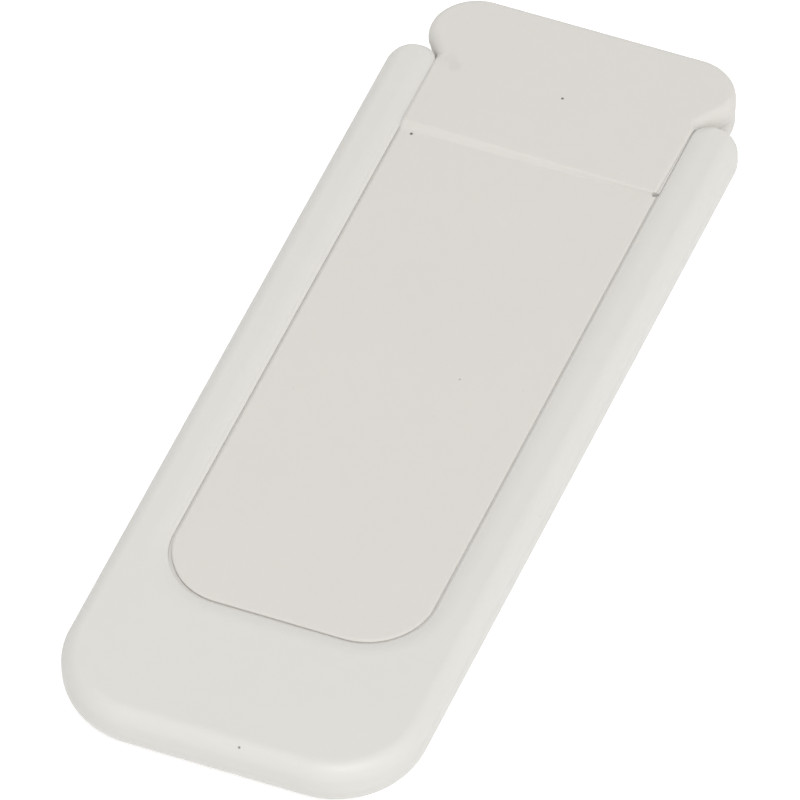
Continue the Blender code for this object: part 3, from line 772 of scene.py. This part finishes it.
def metal_material(name, light, dark, roughness, grain, streak=(1.0, 1.0, 1.0)):
    """Metal with cloudy plating and fine scratches; streak stretches the scratches along an axis."""
    n = Nodes(name)
    stretched = n.add("Mapping", Vector=n.place, Scale=streak)
    scratches = n.add("TexNoise", Vector=stretched.outputs["Vector"], Scale=1 / (grain * MM), Detail=4.0)
    n.set(n.shader, "Base Color", n.mix(n.ramp(n.noise(2.5, 3.0), 0.0, 1.0), light, dark))
    n.set(n.shader, "Metallic", 1.0)
    n.set(n.shader, "Roughness", n.ramp(scratches.outputs["Fac"], roughness - 0.08, roughness + 0.1))
    n.set(n.shader, "Normal", n.bump(scratches.outputs["Fac"], 0.3, 0.01))
    return n.material


def rubber_material():
    n = Nodes("rubber_black")
    n.set(n.shader, "Base Color", n.mix(n.ramp(n.noise(2.0, 3.0), 0.0, 1.0), (0.022, 0.022, 0.023),
                                        (0.045, 0.044, 0.042)))
    n.set(n.shader, "Roughness", n.ramp(n.noise(0.8), 0.72, 0.88))
    n.set(n.shader, "Normal", n.bump(n.noise(0.15), 0.4, 0.02))
    return n.material


def floor_material():
    """Light table: a pale sheet that glows a little, so that shadows on it stay faint."""
    n = Nodes("floor_white")
    n.set(n.shader, "Base Color", n.mix(n.ramp(n.noise(300.0), 0.0, 1.0),
                                        (0.60, 0.60, 0.60), (0.59, 0.59, 0.59)))
    n.set(n.shader, "Roughness", 0.9)
    n.set(n.shader, "Specular IOR Level", 0.0)
    n.set(n.shader, "Emission Color", (1.0, 1.0, 1.0, 1.0))
    n.set(n.shader, "Emission Strength", 0.6)
    return n.material


# ---- floor, lights and camera ----
def make_floor():
    bm = bmesh.new()
    bmesh.ops.create_grid(bm, x_segments=1, y_segments=1, size=3.0)
    floor = make_object("floor", bm)
    floor.location.z = -0.05 * MM
    floor.data.materials.append(floor_material())


def away_from_latch(azimuth, elevation):
    """Unit vector from the latch; azimuth 0 is straight below its foot, both angles in degrees."""
    azimuth, elevation = math.radians(azimuth), math.radians(elevation)
    return Vector((math.sin(azimuth) * math.cos(elevation), -math.cos(azimuth) * math.cos(elevation),
                   math.sin(elevation)))


def make_area_light(name, azimuth, elevation, distance, size, power):
    """Soft round light that looks at the latch."""
    away = away_from_latch(azimuth, elevation)
    data = bpy.data.lights.new(name, "AREA")
    data.shape = "DISK"
    data.size = size
    data.energy = power
    lamp = bpy.data.objects.new(name, data)
    lamp.location = away * distance
    lamp.rotation_euler = away.to_track_quat("Z", "Y").to_euler()
    bpy.context.scene.collection.objects.link(lamp)


def make_lights():
    world = bpy.data.worlds.new("studio")
    world.use_nodes = True
    world.node_tree.nodes["Background"].inputs["Color"].default_value = (1.0, 1.0, 1.0, 1.0)
    world.node_tree.nodes["Background"].inputs["Strength"].default_value = 0.75
    bpy.context.scene.world = world
    make_area_light("key", azimuth=40, elevation=60, distance=2.0, size=1.2, power=34.0)


def make_camera():
    """Long lens above the case's foot and a little to its right."""
    away = away_from_latch(23.37, 47.48)
    roll = math.radians(1.73)
    distance = 1.932
    aim = Vector((-0.00064, 0.0034, 0.0039))
    data = bpy.data.cameras.new("camera")
    data.lens = 831.1
    data.sensor_width = 36.0
    data.clip_start = 0.1
    data.clip_end = 20.0
    camera = bpy.data.objects.new("camera", data)
    turn = away.to_track_quat("Z", "Y").to_matrix() @ Matrix.Rotation(-roll, 3, "Z")
    camera.matrix_world = Matrix.Translation(aim + away * distance) @ turn.to_4x4()
    bpy.context.scene.collection.objects.link(camera)
    bpy.context.scene.camera = camera


# ---- the scene ----
case_white = plastic_material("case_white", (0.516, 0.505, 0.480), (0.512, 0.501, 0.476), CASE_SPECKS)
slide_white = plastic_material("slide_white", (0.503, 0.487, 0.461), (0.500, 0.483, 0.458), SLIDE_SPECKS_AND_SHADE)
grey = plastic_material("plastic_grey", (0.50, 0.49, 0.47), (0.47, 0.46, 0.44))
make_housing(case_white)
make_back_plate(grey)
make_face(slide_white)
make_carrier(slide_white)
sheet = metal_material("steel_sheet", (0.60, 0.60, 0.61), (0.54, 0.54, 0.55), 0.32, 0.6, (1.0, 0.04, 1.0))
zinc = metal_material("zinc_plated", (0.66, 0.67, 0.68), (0.58, 0.59, 0.61), 0.30, 0.5)
wire = metal_material("spring_wire", (0.50, 0.50, 0.52), (0.42, 0.42, 0.44), 0.28, 0.25)
brass = metal_material("brass_turned", (0.74, 0.57, 0.29), (0.66, 0.49, 0.23), 0.30, 0.3, (1.0, 1.0, 0.1))
rubber = rubber_material()
make_locking_plate(sheet)
for back_screw, rivet in zip(BACK_SCREWS, RIVETS):
    make_screw(back_screw, CASE, zinc, *BACK_SCREW)
    make_rivet(rivet, zinc)
for side in SIDES:
    make_screw(f"face_screw_{side}", SLIDE, zinc, *FACE_SCREW)
    make_insert(side, brass)
    make_guide(side, zinc)
    make_spring(side, wire)
    make_bumper(side, rubber)
make_floor()
make_lights()
make_camera()
view = bpy.context.scene.view_settings
view.view_transform = "Standard"
view.look = "None"
